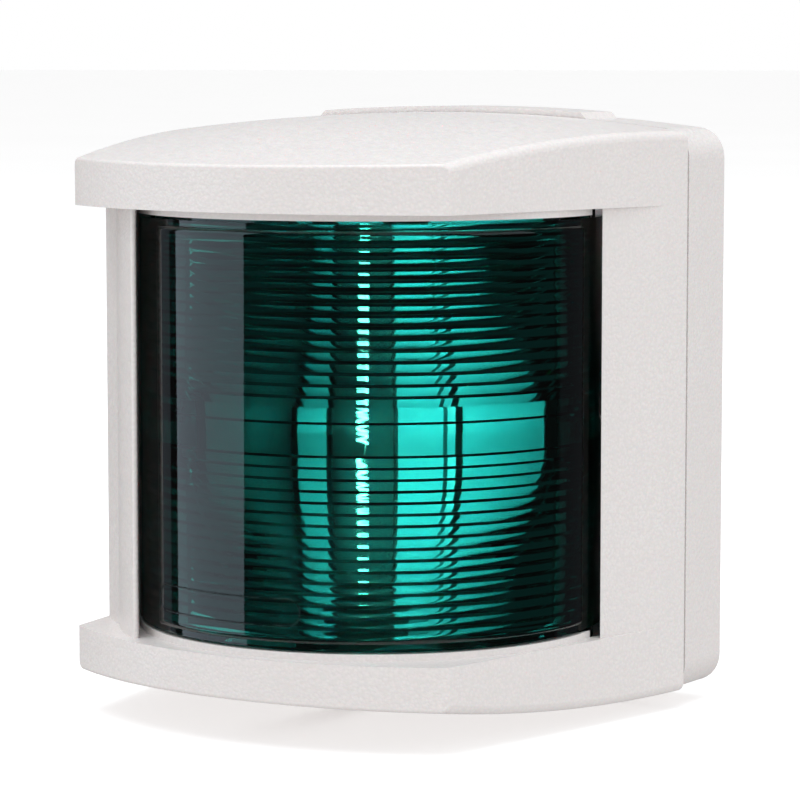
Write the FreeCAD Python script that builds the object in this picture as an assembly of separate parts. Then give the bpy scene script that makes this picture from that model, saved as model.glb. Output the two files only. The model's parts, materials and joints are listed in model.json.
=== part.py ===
import FreeCAD, Part
import math
import os

# Starboard side light for a small boat, fixed to an upright cabin side.
# Millimetres. +X is ahead, +Y points into the wall, +Z is up.
# The origin is the middle of the back of the base plate, on the wall.

Vector = FreeCAD.Vector
X_AXIS = Vector(1, 0, 0)
Y_AXIS = Vector(0, 1, 0)
Z_AXIS = Vector(0, 0, 1)

# ---- driving dimensions --------------------------------------------------
HALF_WIDTH = 41.6            # base plate and cover at the seam
HALF_HEIGHT = 43.9           # crown of the plate and of the cover's roof
SEAM_Y = -11.1               # middle of the joint between plate and cover
SEAM_GAP = 0.4
ARCH_RADIUS = 335.0          # side-to-side arch of the plate's and cover's top and bottom
PLATE_CORNER_RADIUS = 4.5

ROOF_RADIUS = 277.0          # back-to-front curve of the cover's roof and floor
CHEEK_X = 32.45              # front corners of the cover
CHEEK_Y = -61.6
BROW_RADIUS = 59.5           # bowed front edge between the corners
LEDGE_HALF_HEIGHT = 31.0     # the roof and floor step out this far above and below the window's middle
WALL = 2.2

LENS_X = 1.9                 # upright axis of the lens
LENS_Y = -34.8
LIP_RADIUS = 34.45           # outside of the window's upper and lower lips
LIP_THICKNESS = 1.8
WINDOW_HALF_HEIGHT = 30.0
WINDOW_Z = -0.3              # middle of the window
WINDOW_AFT = -56.0           # degrees from abeam (-Y) towards ahead (+X)
WINDOW_AHEAD = 118.5

SEAL = 0.6                   # rubber between the lens flange and the lips
LENS_FLANGE = 2.0
LENS_FACE_RADIUS = 34.2      # the part that fills the window
LENS_PAD_RADIUS = 34.9       # the raised optical face on it
RING_PITCH = 1.61
RING_DEPTH = 1.5

BULB_X = 0.6                 # festoon bulb, upright
BULB_Y = -35.7
BULB_HALF_LENGTH = 20.5
BULB_RADIUS = 5.3
CAP_RADIUS = 4.25
CAP_LENGTH = 8.0

SECTOR_AFT = -22.5           # the aft edge of the light's legal arc, same angles
SECTOR_AHEAD = 98.0          # the ahead screen ends 8 degrees outside the arc

REFLECTOR_Y = -23.0          # front face of the white lamp carrier
REFLECTOR_HALF_WIDTH = 22.4
REFLECTOR_HALF_HEIGHT = 30.0
REFLECTOR_THICKNESS = 2.0

HOOK_X = 12.0                # the cover hooks over the plate's top edge and tilts there
HOOK_WIDTH = 7.0
SCREW_Z = -40.9              # cover screw, parallel to Y
SCREW_LENGTH = 8.0
SCREW_RADIUS = 1.5
MOUNTING_HOLE_X = 31.0
MOUNTING_HOLE_RADIUS = 2.2
CABLE_Z = -14.0              # the cable comes through the wall below the middle
CABLE_HOLE_RADIUS = 6.0
CABLE_RADIUS = 3.4

# ---- worked out from those -----------------------------------------------
PLATE_FRONT = SEAM_Y + SEAM_GAP / 2
COVER_BACK = SEAM_Y - SEAM_GAP / 2
LENS_SEAT_RADIUS = LIP_RADIUS - LIP_THICKNESS
FLANGE_RADIUS = LENS_SEAT_RADIUS - SEAL
LENS_INNER_RADIUS = FLANGE_RADIUS - LENS_FLANGE
LENS_HALF_HEIGHT = WINDOW_HALF_HEIGHT + 2.4
CHEEK_SLOPE = (HALF_WIDTH - CHEEK_X) / (SEAM_Y - CHEEK_Y)
STEP_START_Y = -16.5         # the side wall leaves the roof's outline here


# ---- small helpers -------------------------------------------------------
def box(x0, x1, y0, y1, z0, z1):
    return Part.makeBox(x1 - x0, y1 - y0, z1 - z0, Vector(x0, y0, z0))


def rod(radius, start, end):
    """A cylinder from one point to another."""
    along = Vector(*end) - Vector(*start)
    return Part.makeCylinder(radius, along.Length, Vector(*start), along)


def tube(outer, inner, start, end):
    return rod(outer, start, end).cut(rod(inner, start, end))


def plan_prism(points, z0, z1):
    """An upright prism on a plan outline of (x, y) points."""
    corners = [Vector(x, y, z0) for x, y in points]
    face = Part.Face(Part.makePolygon(corners + corners[:1]))
    return face.extrude(Vector(0, 0, z1 - z0))


def cheek_x(y):
    """Half width of the roof outline at a depth y."""
    return HALF_WIDTH - CHEEK_SLOPE * (SEAM_Y - y)


def around_lens(radius, degrees):
    """Plan point at a bearing from abeam, measured about the lens axis."""
    angle = math.radians(degrees)
    return (LENS_X + radius * math.sin(angle), LENS_Y - radius * math.cos(angle))


def lens_sweep(profile, start, end):
    """Turn an (r, z) profile about the lens axis between two bearings."""
    corners = [Vector(LENS_X, LENS_Y - r, WINDOW_Z + z) for r, z in profile]
    face = Part.Face(Part.makePolygon(corners + corners[:1]))
    axis_point = Vector(LENS_X, LENS_Y, 0)
    face.rotate(axis_point, Z_AXIS, start)
    return face.revolve(axis_point, Z_AXIS, end - start)


def ring_profile(inner, outer, half_height):
    return [(inner, -half_height), (outer, -half_height), (outer, half_height), (inner, half_height)]


def edges_where(shape, test):
    return [edge for edge in shape.Edges if test(edge)]


def middle_of(edge):
    return edge.valueAt((edge.FirstParameter + edge.LastParameter) / 2)


def screw_with_slot(radius, head_radius, head_height, tip, seat_to_tip, slot_width):
    """A pan head screw along Y, its tip towards the wall at tip = (x, y, z)."""
    x, y, z = tip
    seat = y - seat_to_tip
    shank = rod(radius, (x, seat, z), tip)
    head = rod(head_radius, (x, seat - head_height, z), (x, seat, z))
    front_rim = edges_where(head, lambda e: abs(middle_of(e).y - (seat - head_height)) < 0.01)
    head = head.makeFillet(head_height * 0.4, front_rim)
    slot = box(x - slot_width / 2, x + slot_width / 2, seat - head_height, seat - head_height / 2,
               z - head_radius, z + head_radius)
    return head.cut(slot).fuse(shank).removeSplitter()


# ---- base side -----------------------------------------------------------
def plate_outline(inset, y0, y1):
    """The crowned plate outline, drawn in by inset on every side."""
    half_width = HALF_WIDTH - inset
    crown = HALF_HEIGHT - inset
    shoulder = crown - half_width ** 2 / (2 * ARCH_RADIUS)
    top_left, top_right = Vector(-half_width, y0, shoulder), Vector(half_width, y0, shoulder)
    bottom_left, bottom_right = Vector(-half_width, y0, -shoulder), Vector(half_width, y0, -shoulder)
    top = Part.Arc(top_left, Vector(0, y0, crown), top_right)
    bottom = Part.Arc(bottom_right, Vector(0, y0, -crown), bottom_left)
    right = Part.LineSegment(top_right, bottom_right)
    left = Part.LineSegment(bottom_left, top_left)
    wire = Part.Wire([top.toShape(), right.toShape(), bottom.toShape(), left.toShape()])
    solid = Part.Face(wire).extrude(Vector(0, y1 - y0, 0))
    corners = edges_where(solid, lambda e: abs(e.tangentAt(e.FirstParameter).y) > 0.99)
    return solid.makeFillet(PLATE_CORNER_RADIUS, corners)


SEAL_BAND = 1.8
SEAL_SIDE = 39.6             # outer edge of the seam seal at the sides
SEAL_TOP = 39.6
SEAL_BOTTOM = -37.2
SEAL_BACK = -9.3
CLEARANCE = 0.2


def seal_ring(outer_extra, inner_extra, y0, y1):
    """A rectangular ring along the seam seal's track."""
    outer = box(-SEAL_SIDE - outer_extra, SEAL_SIDE + outer_extra, y0, y1,
                SEAL_BOTTOM - outer_extra, SEAL_TOP + outer_extra)
    inner_side = SEAL_SIDE - SEAL_BAND - inner_extra
    inner = box(-inner_side, inner_side, y0, y1,
                SEAL_BOTTOM + SEAL_BAND + inner_extra, SEAL_TOP - SEAL_BAND - inner_extra)
    return outer.cut(inner)


FLOOR = 3.0                  # thickness of the plate's back
POCKET_MARGIN = 0.9          # wall between the seal's groove and the plate's pocket
POCKET_CORNER = 3.0
MOUNTING_PAD_RADIUS = 5.0
MOUNTING_PAD_HEIGHT = 3.0
BOSS_RADIUS = 4.0
PILOT_RADIUS = 1.25          # hole that a carrier screw cuts its thread in
PILOT_DEPTH = 10.0
CARRIER_SCREWS = [(LENS_X - 16.0, 23.5), (LENS_X + 16.0, -23.5)]
CARRIER_BACK = REFLECTOR_Y + REFLECTOR_THICKNESS
INSERT_RADIUS = 2.3
INSERT_LENGTH = 6.0
INSERT_GROOVE = 0.5          # width of its grip grooves
SCREW_CLEARANCE_RADIUS = SCREW_RADIUS + 0.3
SCREW_HOLE_END = -2.5
RIDGE_HALF_WIDTH = 24.2
RIDGE_HEIGHT = 0.9
RIDGE_RAMP = 3.0
RIDGE_BACK = -1.5
HOOK_LIP_BACK = PLATE_FRONT + 1.0
HOOK_LIP_Z = 43.0            # underside of the lip that the hooks reach behind
HOOK_POCKET_BACK = PLATE_FRONT + 3.6


def hook_ridge():
    """Low arched ridge on top of the plate, over the cover's hooks."""
    low, high = HALF_HEIGHT - 4.0, HALF_HEIGHT + 2.0
    ramp_foot, ramp_top = RIDGE_HALF_WIDTH + RIDGE_RAMP, RIDGE_HALF_WIDTH - RIDGE_RAMP
    profile = [(-ramp_foot, low), (-ramp_top, high), (ramp_top, high), (ramp_foot, low)]
    corners = [Vector(x, PLATE_FRONT, z) for x, z in profile]
    block = Part.Face(Part.makePolygon(corners + corners[:1])).extrude(Vector(0, RIDGE_BACK - PLATE_FRONT, 0))
    return block.common(plate_outline(-RIDGE_HEIGHT, PLATE_FRONT, RIDGE_BACK))


def base_plate():
    plate = plate_outline(0, PLATE_FRONT, 0).fuse(hook_ridge())
    pocket_side = SEAL_SIDE - SEAL_BAND - POCKET_MARGIN
    pocket = box(-pocket_side, pocket_side, PLATE_FRONT - 1, -FLOOR,
                 SEAL_BOTTOM + SEAL_BAND + POCKET_MARGIN, SEAL_TOP - SEAL_BAND - POCKET_MARGIN)
    pocket = pocket.makeFillet(POCKET_CORNER, edges_where(pocket, lambda e: abs(e.tangentAt(0).y) > 0.99))
    plate = plate.cut(pocket)
    plate = plate.cut(seal_ring(0, 0, PLATE_FRONT - 1, SEAL_BACK))
    for side in (-1, 1):
        plate = plate.cut(hook_window(side * HOOK_X))
        x = side * MOUNTING_HOLE_X
        plate = plate.fuse(rod(MOUNTING_PAD_RADIUS, (x, -FLOOR - MOUNTING_PAD_HEIGHT, 0), (x, -FLOOR, 0)))
        plate = plate.cut(rod(MOUNTING_HOLE_RADIUS, (x, PLATE_FRONT, 0), (x, 1, 0)))
    for x, z in CARRIER_SCREWS:
        plate = plate.fuse(rod(BOSS_RADIUS, (x, CARRIER_BACK, z), (x, -FLOOR, z)))
        plate = plate.cut(rod(PILOT_RADIUS, (x, CARRIER_BACK - 1, z), (x, CARRIER_BACK + PILOT_DEPTH, z)))
    plate = plate.cut(rod(CABLE_HOLE_RADIUS, (LENS_X, -FLOOR - 1, CABLE_Z), (LENS_X, 1, CABLE_Z)))
    insert_end = PLATE_FRONT + INSERT_LENGTH
    plate = plate.cut(rod(INSERT_RADIUS, (0, PLATE_FRONT - 1, SCREW_Z), (0, insert_end, SCREW_Z)))
    plate = plate.cut(rod(SCREW_CLEARANCE_RADIUS, (0, PLATE_FRONT, SCREW_Z), (0, SCREW_HOLE_END, SCREW_Z)))
    return plate.removeSplitter()


def hook_window(x):
    """Opening in the plate's top edge for one hook of the cover."""
    half = HOOK_WIDTH / 2 + 2 * CLEARANCE
    way_in = box(x - half, x + half, PLATE_FRONT - 1, HOOK_POCKET_BACK, SEAL_TOP + CLEARANCE, HOOK_LIP_Z)
    behind_lip = box(x - half, x + half, HOOK_LIP_BACK, HOOK_POCKET_BACK, SEAL_TOP + CLEARANCE, HALF_HEIGHT)
    return way_in.fuse(behind_lip)


def seam_seal():
    return seal_ring(0, 0, COVER_BACK, SEAL_BACK)


def screw_insert():
    insert = tube(INSERT_RADIUS, SCREW_RADIUS + 0.25, (0, PLATE_FRONT, SCREW_Z),
                  (0, PLATE_FRONT + INSERT_LENGTH, SCREW_Z))
    for step in (1.6, 3.0, 4.4):
        groove = tube(INSERT_RADIUS, INSERT_RADIUS - INSERT_GROOVE / 2, (0, PLATE_FRONT + step, SCREW_Z),
                      (0, PLATE_FRONT + step + INSERT_GROOVE, SCREW_Z))
        insert = insert.cut(groove)
    return insert


COLLAR = 1.6                 # thickness and reach of the grommet's collar


def cable_grommet():
    inside = -FLOOR
    body = tube(CABLE_HOLE_RADIUS, CABLE_RADIUS, (LENS_X, inside, CABLE_Z), (LENS_X, 0, CABLE_Z))
    collar = tube(CABLE_HOLE_RADIUS + COLLAR, CABLE_RADIUS,
                  (LENS_X, inside - COLLAR, CABLE_Z), (LENS_X, inside, CABLE_Z))
    return body.fuse(collar).removeSplitter()


STRIP = 0.6                  # thickness of the contact strip
STRIP_BACK = BULB_Y + CAP_RADIUS + 0.45
POST_FRONT = STRIP_BACK + STRIP
POST_LOW = 14.0
POST_HIGH = 20.0
POST_HALF_WIDTH = 4.0
LEG = 1.8                    # thickness of the carrier's legs
LEG_MARGIN = 6.0
TERMINAL_Z = 26.0
TERMINAL_HOLE_RADIUS = 2.0
NUT_HALF = 2.9
NUT_HEIGHT = 2.4
NUT_SLACK = 0.1
NUT_POCKET_HEIGHT = 3.2
NUT_POCKET_WALL = 1.0
SMALL_HOLE_RADIUS = 1.8      # carrier screws and wires pass through these
WIRE_HOLE_SIDE = 8.0
SLOTS = [(5.3, 0.75), (7.75, 1.3)]   # upright slots beside the bulb: place from the lens axis, and width
SLOT_HALF_HEIGHT = 20.0


def lamp_carrier():
    """White moulded bracket: reflector face, two legs and two contact posts."""
    x0 = LENS_X - REFLECTOR_HALF_WIDTH
    x1 = LENS_X + REFLECTOR_HALF_WIDTH
    half_height = REFLECTOR_HALF_HEIGHT
    carrier = box(x0, x1, REFLECTOR_Y, CARRIER_BACK, -half_height, half_height)
    leg_half = half_height - LEG_MARGIN
    for leg in (x0, x1 - LEG):
        carrier = carrier.fuse(box(leg, leg + LEG, CARRIER_BACK, -FLOOR, -leg_half, leg_half))
    for side in (-1, 1):
        z0, z1 = sorted((side * POST_LOW, side * POST_HIGH))
        post_x0, post_x1 = BULB_X - POST_HALF_WIDTH, BULB_X + POST_HALF_WIDTH
        carrier = carrier.fuse(box(post_x0, post_x1, POST_FRONT, REFLECTOR_Y, z0, z1))
        terminal = side * TERMINAL_Z
        nut_half = NUT_HALF + NUT_SLACK
        pocket = square_block(BULB_X, terminal, nut_half + NUT_POCKET_WALL, CARRIER_BACK, NUT_POCKET_HEIGHT)
        nut = square_block(BULB_X, terminal, nut_half, CARRIER_BACK, NUT_POCKET_HEIGHT + NUT_SLACK)
        carrier = carrier.fuse(pocket).cut(nut)
        carrier = carrier.cut(through_carrier(TERMINAL_HOLE_RADIUS, BULB_X, terminal))
        carrier = carrier.cut(through_carrier(SMALL_HOLE_RADIUS, BULB_X + WIRE_HOLE_SIDE, terminal))
    for x, z in CARRIER_SCREWS:
        carrier = carrier.cut(through_carrier(SMALL_HOLE_RADIUS, x, z))
    for place, width in SLOTS:
        left = LENS_X + place - width / 2
        carrier = carrier.cut(box(left, left + width, REFLECTOR_Y - 1, CARRIER_BACK + 1,
                                  -SLOT_HALF_HEIGHT, SLOT_HALF_HEIGHT))
    return carrier.removeSplitter()


def square_block(x, z, half, y0, height):
    """A square block standing on the plane y0, towards the wall."""
    return box(x - half, x + half, y0, y0 + height, z - half, z + half)


def through_carrier(radius, x, z):
    return rod(radius, (x, REFLECTOR_Y - 1, z), (x, CARRIER_BACK + 1, z))


SLOT = 0.8                   # width of the screwdriver slots
CARRIER_SCREW_RADIUS = PILOT_RADIUS - 0.05
CARRIER_SCREW_GRIP = 7.0


def carrier_screws():
    screws = []
    for x, z in CARRIER_SCREWS:
        tip = (x, CARRIER_BACK + CARRIER_SCREW_GRIP, z)
        seat_to_tip = REFLECTOR_THICKNESS + CARRIER_SCREW_GRIP
        screws.append(screw_with_slot(CARRIER_SCREW_RADIUS, 3.0, 1.9, tip, seat_to_tip, SLOT))
    return Part.makeCompound(screws)


CLIP_SLACK = 0.15            # each spring arm clears the cap
ARM_REACH = 3.4              # the arms reach this far in front of the bulb's middle
TAIL_HALF_WIDTH = 3.6
CLAMP_HALF_WIDTH = 3.2


def contact_strip(side):
    """Spring clip round a bulb cap, with its tail bent to the terminal."""
    back = STRIP_BACK
    gap = CAP_RADIUS + CLIP_SLACK
    outer = gap + STRIP
    clip = box(BULB_X - outer, BULB_X + outer, back, back + STRIP, POST_LOW + 0.5, POST_HIGH + STRIP)
    for sign in (-1, 1):
        x0, x1 = sorted((BULB_X + sign * gap, BULB_X + sign * outer))
        clip = clip.fuse(box(x0, x1, BULB_Y - ARM_REACH, back, POST_LOW + 0.5, POST_HIGH - 1.0))
    tail_x0, tail_x1 = BULB_X - TAIL_HALF_WIDTH, BULB_X + TAIL_HALF_WIDTH
    tail = box(tail_x0, tail_x1, back, REFLECTOR_Y, POST_HIGH, POST_HIGH + STRIP)
    tab = box(tail_x0, tail_x1, REFLECTOR_Y - STRIP, REFLECTOR_Y, POST_HIGH, TERMINAL_Z + CLAMP_HALF_WIDTH)
    strip = clip.fuse(tail).fuse(tab)
    strip = strip.cut(through_carrier(TERMINAL_HOLE_RADIUS, BULB_X, TERMINAL_Z))
    strip = strip.removeSplitter()
    return strip if side > 0 else strip.mirror(Vector(0, 0, 0), Z_AXIS)


CLAMP = 1.0                  # thickness of the wire clamps
TERMINAL_SCREW_RADIUS = 1.75
TERMINAL_SCREW_GRIP = 3.6    # how far the screw goes past the carrier


def wire_clamp(side):
    """Square pressure plate under a terminal screw."""
    z = side * TERMINAL_Z
    front = REFLECTOR_Y - STRIP - CLAMP
    plate = square_block(BULB_X, z, CLAMP_HALF_WIDTH, front, CLAMP)
    plate = plate.makeFillet(0.6, edges_where(plate, lambda e: abs(e.tangentAt(0).y) > 0.99))
    return plate.cut(rod(TERMINAL_HOLE_RADIUS, (BULB_X, front - 1, z), (BULB_X, REFLECTOR_Y, z)))


def terminal_screw(side):
    z = side * TERMINAL_Z
    seat_to_tip = STRIP + CLAMP + REFLECTOR_THICKNESS + TERMINAL_SCREW_GRIP
    tip = (BULB_X, CARRIER_BACK + TERMINAL_SCREW_GRIP, z)
    return screw_with_slot(TERMINAL_SCREW_RADIUS, 3.1, 2.2, tip, seat_to_tip, SLOT)


def terminal_nuts():
    nuts = []
    for side in (-1, 1):
        z = side * TERMINAL_Z
        nut = square_block(BULB_X, z, NUT_HALF, CARRIER_BACK, NUT_HEIGHT)
        nuts.append(nut.cut(rod(TERMINAL_SCREW_RADIUS + 0.08, (BULB_X, CARRIER_BACK - 1, z),
                                (BULB_X, CARRIER_BACK + NUT_HEIGHT + 1, z))))
    return Part.makeCompound(nuts)


# ---- bulb ----------------------------------------------------------------
GLASS_WALL = 0.7
GLASS_HALF = BULB_HALF_LENGTH - CAP_LENGTH + 1.0   # the glass enters the caps by 1 mm
NECK_RADIUS = 3.4
SHOULDER = 2.6               # length of the glass's rounded ends


def bulb_turned(profile):
    """Turn an (r, z) profile fully about the bulb's axis."""
    corners = [Vector(BULB_X + r, BULB_Y, z) for r, z in profile]
    face = Part.Face(Part.makePolygon(corners + corners[:1]))
    return face.revolve(Vector(BULB_X, BULB_Y, 0), Z_AXIS, 360)


def glass_curve(radius, half, neck):
    """Right-hand side of the glass: straight tube with shouldered ends."""
    points = []
    steps = 6
    for step in range(steps + 1):
        angle = math.radians(90 * step / steps)
        points.append((neck + (radius - neck) * math.sin(angle), half - SHOULDER * (1 - math.cos(angle))))
    return points


def bulb_glass():
    bulb = bulb_turned(both_ends(glass_curve(BULB_RADIUS, GLASS_HALF, NECK_RADIUS), GLASS_HALF))
    hollow_end = GLASS_HALF - GLASS_WALL
    hollow_side = glass_curve(BULB_RADIUS - GLASS_WALL, hollow_end, NECK_RADIUS - 1)
    return bulb.cut(bulb_turned(both_ends(hollow_side, hollow_end)))


def both_ends(upper, end):
    """Close an upper (r, z) curve with its mirror image below, along the axis."""
    return [(0, end)] + upper + [(r, -z) for r, z in reversed(upper)] + [(0, -end)]


def bulb_cap(side):
    """Metal end cap with the pointed centre of a festoon lamp."""
    inner_end = BULB_HALF_LENGTH - CAP_LENGTH
    profile = [(0, GLASS_HALF), (NECK_RADIUS, GLASS_HALF), (NECK_RADIUS + 0.05, inner_end),
               (CAP_RADIUS, inner_end), (CAP_RADIUS, BULB_HALF_LENGTH - 2.2),
               (CAP_RADIUS - 0.8, BULB_HALF_LENGTH - 1.5),
               (1.5, BULB_HALF_LENGTH), (0, BULB_HALF_LENGTH)]
    cap = bulb_turned(profile).cut(bulb_glass())
    return cap if side > 0 else cap.mirror(Vector(0, 0, 0), Z_AXIS)


FILAMENT_HALF = 7.0
FILAMENT_RADIUS = 0.45
LEAD_RADIUS = 0.25


def bulb_filament():
    """The coiled filament, held on a stiff wire from each cap."""
    coil = rod(FILAMENT_RADIUS, (BULB_X, BULB_Y, -FILAMENT_HALF), (BULB_X, BULB_Y, FILAMENT_HALF))
    wire_end = GLASS_HALF - GLASS_WALL
    for side in (-1, 1):
        lead = rod(LEAD_RADIUS, (BULB_X, BULB_Y, side * FILAMENT_HALF), (BULB_X, BULB_Y, side * wire_end))
        coil = coil.fuse(lead)
    return coil.removeSplitter()


# ---- cover side ----------------------------------------------------------
def brow_prism(z0, z1):
    """Upright prism on the roof outline: splayed sides and a bowed front."""
    sagitta = BROW_RADIUS - math.sqrt(BROW_RADIUS ** 2 - CHEEK_X ** 2)
    back_left = Vector(-cheek_x(COVER_BACK), COVER_BACK, z0)
    back_right = Vector(cheek_x(COVER_BACK), COVER_BACK, z0)
    front_left = Vector(-CHEEK_X, CHEEK_Y, z0)
    front_right = Vector(CHEEK_X, CHEEK_Y, z0)
    brow = Part.Arc(front_left, Vector(0, CHEEK_Y - sagitta, z0), front_right)
    wire = Part.Wire([Part.makeLine(back_right, back_left), Part.makeLine(back_left, front_left),
                      brow.toShape(), Part.makeLine(front_right, back_right)])
    return Part.Face(wire).extrude(Vector(0, 0, z1 - z0))


def dome(inset):
    """Everything under the doubly curved roof, drawn in by inset."""
    crown = HALF_HEIGHT - inset
    radius = ROOF_RADIUS - inset
    back, front = SEAM_Y + 10, SEAM_Y - 80
    fall_back = radius - math.sqrt(radius ** 2 - (back - SEAM_Y) ** 2)
    fall_front = radius - math.sqrt(radius ** 2 - (front - SEAM_Y) ** 2)
    low = -HALF_HEIGHT - 10
    start, end = Vector(0, back, crown - fall_back), Vector(0, front, crown - fall_front)
    arch = Part.Arc(start, Vector(0, SEAM_Y, crown), end).toShape()
    corners = [end, Vector(0, front, low), Vector(0, back, low), start]
    wire = Part.Wire([arch] + Part.makePolygon(corners).Edges)
    face = Part.Face(wire)
    axis_point = Vector(0, 0, HALF_HEIGHT - ARCH_RADIUS)
    swing = 13.0
    face.rotate(axis_point, Y_AXIS, -swing)
    return face.revolve(axis_point, Y_AXIS, 2 * swing)


def between_domes(solid, inset):
    """Trim a solid to the curved roof and floor, drawn in by inset."""
    roof = dome(inset)
    return solid.common(roof).common(roof.mirror(Vector(0, 0, 0), Z_AXIS))


COLUMN_RADIUS = 37.6         # the aft column wraps round in front of the lens
REVEAL_AFT = -53.5           # bearings where the flat sides of the window
REVEAL_AHEAD = 116.4         # opening touch the lip circle
COLUMN_TURN = -52.0          # bearing where it leaves the arc for the side wall
COLUMN_CORNER_Y = -53.4      # where it meets the side wall
COLUMN_INSET = 0.6
WALL_NOSE_RADIUS = 36.1      # front edge of the ahead wall, from the lens axis
COLUMN_CORNER_ROUND = 1.8
NOSE_ROUND = 0.4


def waist_prism(z0, z1):
    """The cover's outline between its roof and floor ledges."""
    start = (cheek_x(STEP_START_Y), STEP_START_Y)
    column_nose = REVEAL_AFT + math.degrees(math.acos(LIP_RADIUS / COLUMN_RADIUS))
    wall_nose = REVEAL_AHEAD - math.degrees(math.acos(LIP_RADIUS / WALL_NOSE_RADIUS))
    nose = around_lens(COLUMN_RADIUS, column_nose)
    turn = around_lens(COLUMN_RADIUS, COLUMN_TURN)
    middle = around_lens(COLUMN_RADIUS, (column_nose + COLUMN_TURN) / 2)
    corner = (-cheek_x(COLUMN_CORNER_Y) + COLUMN_INSET, COLUMN_CORNER_Y)
    face_of_column = Part.Arc(Vector(*nose, z0), Vector(*middle, z0), Vector(*turn, z0))
    rest = [turn, corner, (-start[0], start[1]), (-cheek_x(COVER_BACK), COVER_BACK),
            (cheek_x(COVER_BACK), COVER_BACK), start, around_lens(WALL_NOSE_RADIUS, wall_nose),
            around_lens(LIP_RADIUS - 0.05, REVEAL_AHEAD), (LENS_X, LENS_Y),
            around_lens(LIP_RADIUS - 0.05, REVEAL_AFT), nose]
    lines = Part.makePolygon([Vector(x, y, z0) for x, y in rest]).Edges
    block = Part.Face(Part.Wire([face_of_column.toShape()] + lines)).extrude(Vector(0, 0, z1 - z0))
    block = block.makeFillet(COLUMN_CORNER_ROUND, edges_where(block, lambda e: is_upright_at(e, corner)))
    block = block.makeFillet(NOSE_ROUND, edges_where(block, lambda e: is_upright_at(e, nose)))
    drum = Part.makeCylinder(LIP_RADIUS, z1 - z0, Vector(LENS_X, LENS_Y, z0))
    return block.fuse(drum).removeSplitter()


def is_upright_at(edge, plan_point):
    point = middle_of(edge)
    upright = abs(edge.tangentAt(edge.FirstParameter).z) > 0.99
    return upright and math.hypot(point.x - plan_point[0], point.y - plan_point[1]) < 0.05


SEAL_FLANGE = 2.0            # the cover's back flange that presses the seal
CHANNEL_RADIUS = 3.2         # screwdriver channel in the cover's floor
SLEEVE_WALL = 1.6
SCREW_SEAT = COVER_BACK - SEAL_FLANGE - 0.3


def cover_cavity():
    """The hollow of the cover, open to the back through its flange."""
    wall_x = cheek_x(COVER_BACK) - WALL
    corner_x = cheek_x(COLUMN_CORNER_Y) - WALL - COLUMN_INSET
    step_x = cheek_x(STEP_START_Y) - WALL
    touch = around_lens(LIP_RADIUS - WALL, 78)
    plan = [(-wall_x, COVER_BACK - SEAL_FLANGE), (wall_x, COVER_BACK - SEAL_FLANGE), (step_x, STEP_START_Y),
            touch, (LENS_X, LENS_Y - 10), around_lens(LENS_SEAT_RADIUS - 1, -42),
            (-corner_x, COLUMN_CORNER_Y + 1), (-step_x, STEP_START_Y)]
    hollow = plan_prism(plan, -HALF_HEIGHT, HALF_HEIGHT)
    drum = Part.makeCylinder(LENS_SEAT_RADIUS, 2 * HALF_HEIGHT, Vector(LENS_X, LENS_Y, -HALF_HEIGHT))
    hollow = between_domes(hollow.fuse(drum), WALL)
    mouth_side = SEAL_SIDE - SEAL_BAND - CLEARANCE
    mouth = box(-mouth_side, mouth_side, COVER_BACK - SEAL_FLANGE - 1, COVER_BACK + 1,
                SEAL_BOTTOM + SEAL_BAND + CLEARANCE, SEAL_TOP - SEAL_BAND - CLEARANCE)
    return hollow.fuse(mouth)


def window():
    """Sector cut through the lips; the column and the ahead wall stay in front of it."""
    return lens_sweep(ring_profile(LENS_SEAT_RADIUS - 1, LIP_RADIUS + 0.02, WINDOW_HALF_HEIGHT),
                      WINDOW_AFT, WINDOW_AHEAD)


TONGUE = 1.5                 # thickness of the hooks
CLAW_GAP = 0.6               # between the plate's lip and the claws
CLAW_END = HOOK_LIP_BACK + 2.0


def hook(x):
    """Tongue from the cover's back edge, turned up behind the plate's lip."""
    top = HOOK_LIP_Z - 0.25
    half = HOOK_WIDTH / 2
    tongue = box(x - half, x + half, COVER_BACK - SEAL_FLANGE, CLAW_END, top - TONGUE, top)
    claw = box(x - half, x + half, HOOK_LIP_BACK + CLAW_GAP, CLAW_END, top - TONGUE, HALF_HEIGHT - CLEARANCE)
    return tongue.fuse(claw)


SCREEN = 1.2                 # thickness of the sector screens
SCREEN_HALF_HEIGHT = 34.0
SCREEN_GAP = 1.2             # between a screen's middle and the carrier's edge
RAIL_WALL = 1.2
RAIL_DEPTH = 1.6


def screen_line(which):
    """Plan ends of a sector screen: back end by the carrier, front edge by the lens."""
    if which == "aft":
        back = (LENS_X - REFLECTOR_HALF_WIDTH - SCREEN_GAP, REFLECTOR_Y - 1.0)
        bearing = SECTOR_AFT
    else:
        back = (LENS_X + REFLECTOR_HALF_WIDTH + SCREEN_GAP, REFLECTOR_Y + 1.0)
        bearing = SECTOR_AHEAD
    angle = math.radians(bearing)
    reach = LENS_INNER_RADIUS - RING_DEPTH - 1.0
    across, towards = math.sin(angle), -math.cos(angle)
    from_x, from_y = BULB_X - LENS_X, BULB_Y - LENS_Y
    along = from_x * across + from_y * towards
    step = -along + math.sqrt(along ** 2 - from_x ** 2 - from_y ** 2 + reach ** 2)
    return back, (BULB_X + step * across, BULB_Y + step * towards)


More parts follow.
